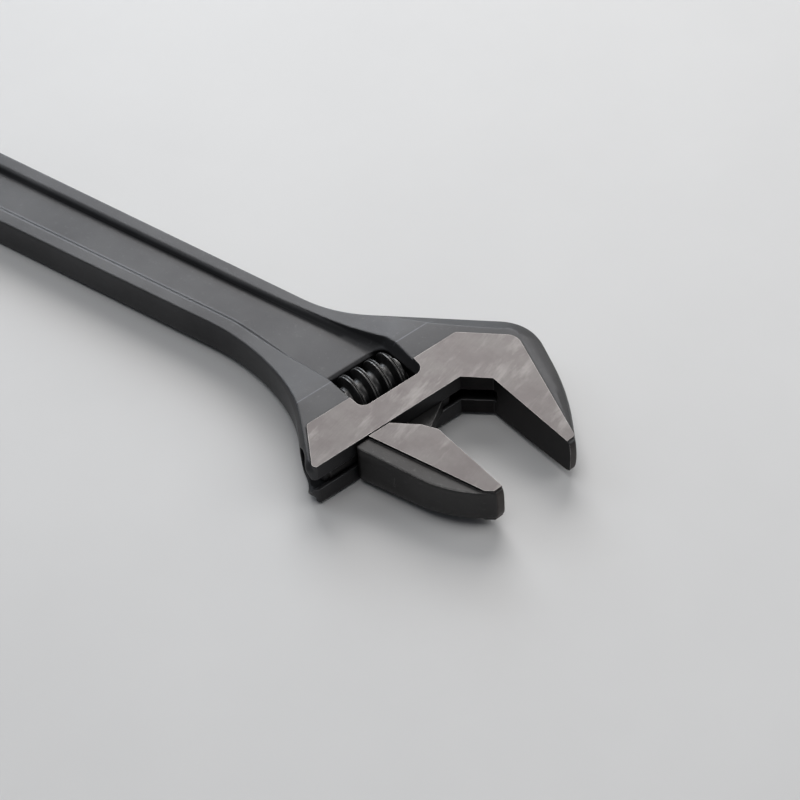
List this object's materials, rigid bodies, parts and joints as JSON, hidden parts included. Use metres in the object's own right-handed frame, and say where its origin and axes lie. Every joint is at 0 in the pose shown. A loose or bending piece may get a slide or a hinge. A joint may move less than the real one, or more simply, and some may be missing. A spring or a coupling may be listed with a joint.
{
  "type": "adjustable wrench",
  "caption": "Adjustable wrench with an angled head, wide jaws, a thumb-turned worm in a window, and a channelled handle with a hanging hole.",
  "frame": {"origin": "centre of the hanging hole, on the mid-plane of the thickness", "axes": "+X along the handle towards the head, +Y across the handle towards the fixed jaw's side, +Z through the thickness"},
  "size_m": [0.2123, 0.0652, 0.0132],
  "materials": {
    "forged_steel": "dark phosphate over a forged surface, with ground satin faces on the head",
    "jaw_steel": "dark phosphate, with ground satin faces",
    "worm_steel": "oiled black",
    "pin_steel": "oiled black",
    "spring_steel": "drawn wire"
  },
  "bodies": {
    "body": {"body": "forged_steel", "worm_pin": "pin_steel", "worm_spring": "spring_steel"},
    "movable_jaw": {"movable_jaw": "jaw_steel"},
    "worm": {"worm": "worm_steel"}
  },
  "joints": [
    {"name": "jaw_slide", "type": "slide", "parent": "body", "child": "movable_jaw", "axis": [0.2588, 0.9659, 0], "range_m": [-0.0136, 0.01938]},
    {"name": "worm_spin", "type": "hinge", "parent": "body", "child": "worm", "pos_m": [0.15047, -0.00312, 0], "axis": [0.2588, 0.9659, 0], "range_deg": [-1290, 1835]}
  ],
  "couplings": [
    {"joint": "worm_spin", "follows": "jaw_slide", "rad_per_m": 1644.8}
  ]
}
